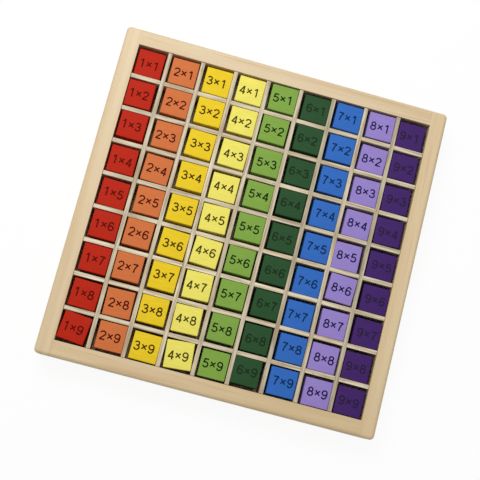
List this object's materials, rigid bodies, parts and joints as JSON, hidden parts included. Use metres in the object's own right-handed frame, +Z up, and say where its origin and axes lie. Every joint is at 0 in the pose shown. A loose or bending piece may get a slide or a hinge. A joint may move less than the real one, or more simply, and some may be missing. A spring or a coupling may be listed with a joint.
{
  "type": "multiplication board",
  "caption": "Shallow square wooden tray with a grid of halved slats that holds a loose painted cube in every cell, for learning the times tables.",
  "frame": {"origin": "middle of the underside, in the plane that the tray stands on", "axes": "+X along the rows from the ones to the nines, +Y up the board, +Z up out of the tray"},
  "size_m": [0.19, 0.19, 0.019],
  "materials": {
    "plywood": "bare thin plywood",
    "pine": "sanded, clear matt varnish",
    "slat_wood": "bare sawn and sanded",
    "red_paint": "water-based satin paint on solid wood",
    "orange_paint": "water-based satin paint on solid wood",
    "yellow_paint": "water-based satin paint on solid wood",
    "light_yellow_paint": "water-based satin paint on solid wood",
    "light_green_paint": "water-based satin paint on solid wood",
    "dark_green_paint": "water-based satin paint on solid wood",
    "blue_paint": "water-based satin paint on solid wood",
    "lilac_paint": "water-based satin paint on solid wood",
    "purple_paint": "water-based satin paint on solid wood"
  },
  "bodies": {
    "root": {"base_panel": "plywood", "rail_left": "pine", "rail_right": "pine", "rail_back": "pine", "rail_front": "pine", "column_slat_1": "slat_wood", "column_slat_2": "slat_wood", "column_slat_3": "slat_wood", "column_slat_4": "slat_wood", "column_slat_5": "slat_wood", "column_slat_6": "slat_wood", "column_slat_7": "slat_wood", "column_slat_8": "slat_wood", "row_slat_1": "slat_wood", "row_slat_2": "slat_wood", "row_slat_3": "slat_wood", "row_slat_4": "slat_wood", "row_slat_5": "slat_wood", "row_slat_6": "slat_wood", "row_slat_7": "slat_wood", "row_slat_8": "slat_wood", "blocks_red": "red_paint", "blocks_orange": "orange_paint", "blocks_yellow": "yellow_paint", "blocks_light_yellow": "light_yellow_paint", "blocks_light_green": "light_green_paint", "blocks_dark_green": "dark_green_paint", "blocks_blue": "blue_paint", "blocks_lilac": "lilac_paint", "blocks_purple": "purple_paint"}
  },
  "joints": []
}
